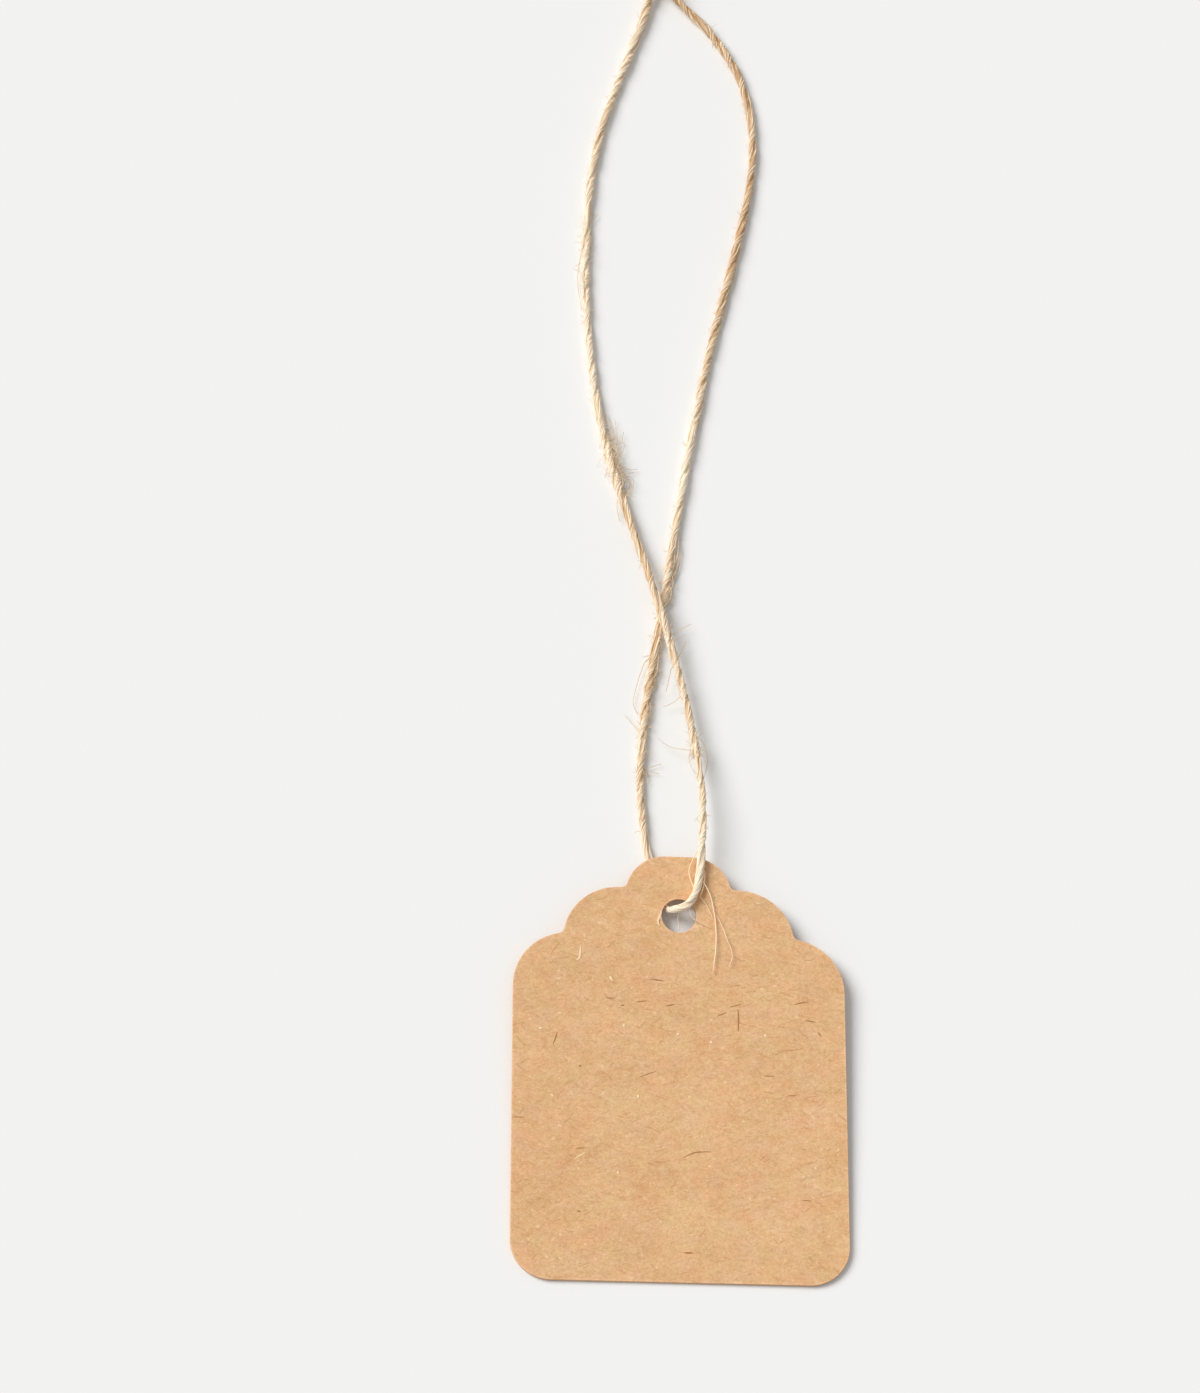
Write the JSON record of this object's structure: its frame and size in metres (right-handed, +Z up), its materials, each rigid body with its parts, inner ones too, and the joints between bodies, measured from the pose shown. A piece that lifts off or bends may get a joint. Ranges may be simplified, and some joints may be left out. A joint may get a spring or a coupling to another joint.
{
  "type": "gift tag",
  "caption": "Kraft card tag with a scalloped end and a punched hole, hung on a knotted loop of jute twine for tying to a gift, jar or garment.",
  "frame": {"origin": "on the table, under the middle of the card as it lies face up", "axes": "+Z up off the table, +Y from the card's plain end towards its scalloped end, +X to the right of the card's face"},
  "size_m": [0.038, 0.181, 0.0032],
  "materials": {
    "kraft_card": "matte",
    "jute_twine": "matte"
  },
  "bodies": {
    "card": {"tag_card": "kraft_card"},
    "twine": {"twine_loop": "jute_twine", "twine_knot": "jute_twine", "twine_tail_left": "jute_twine", "twine_tail_right": "jute_twine"}
  },
  "joints": [
    {"name": "loop_swivel", "type": "hinge", "parent": "card", "child": "twine", "pos_m": [0, 0.0178, 0.0015], "axis": [0, 0, 1], "range_deg": [-75, 75]}
  ]
}
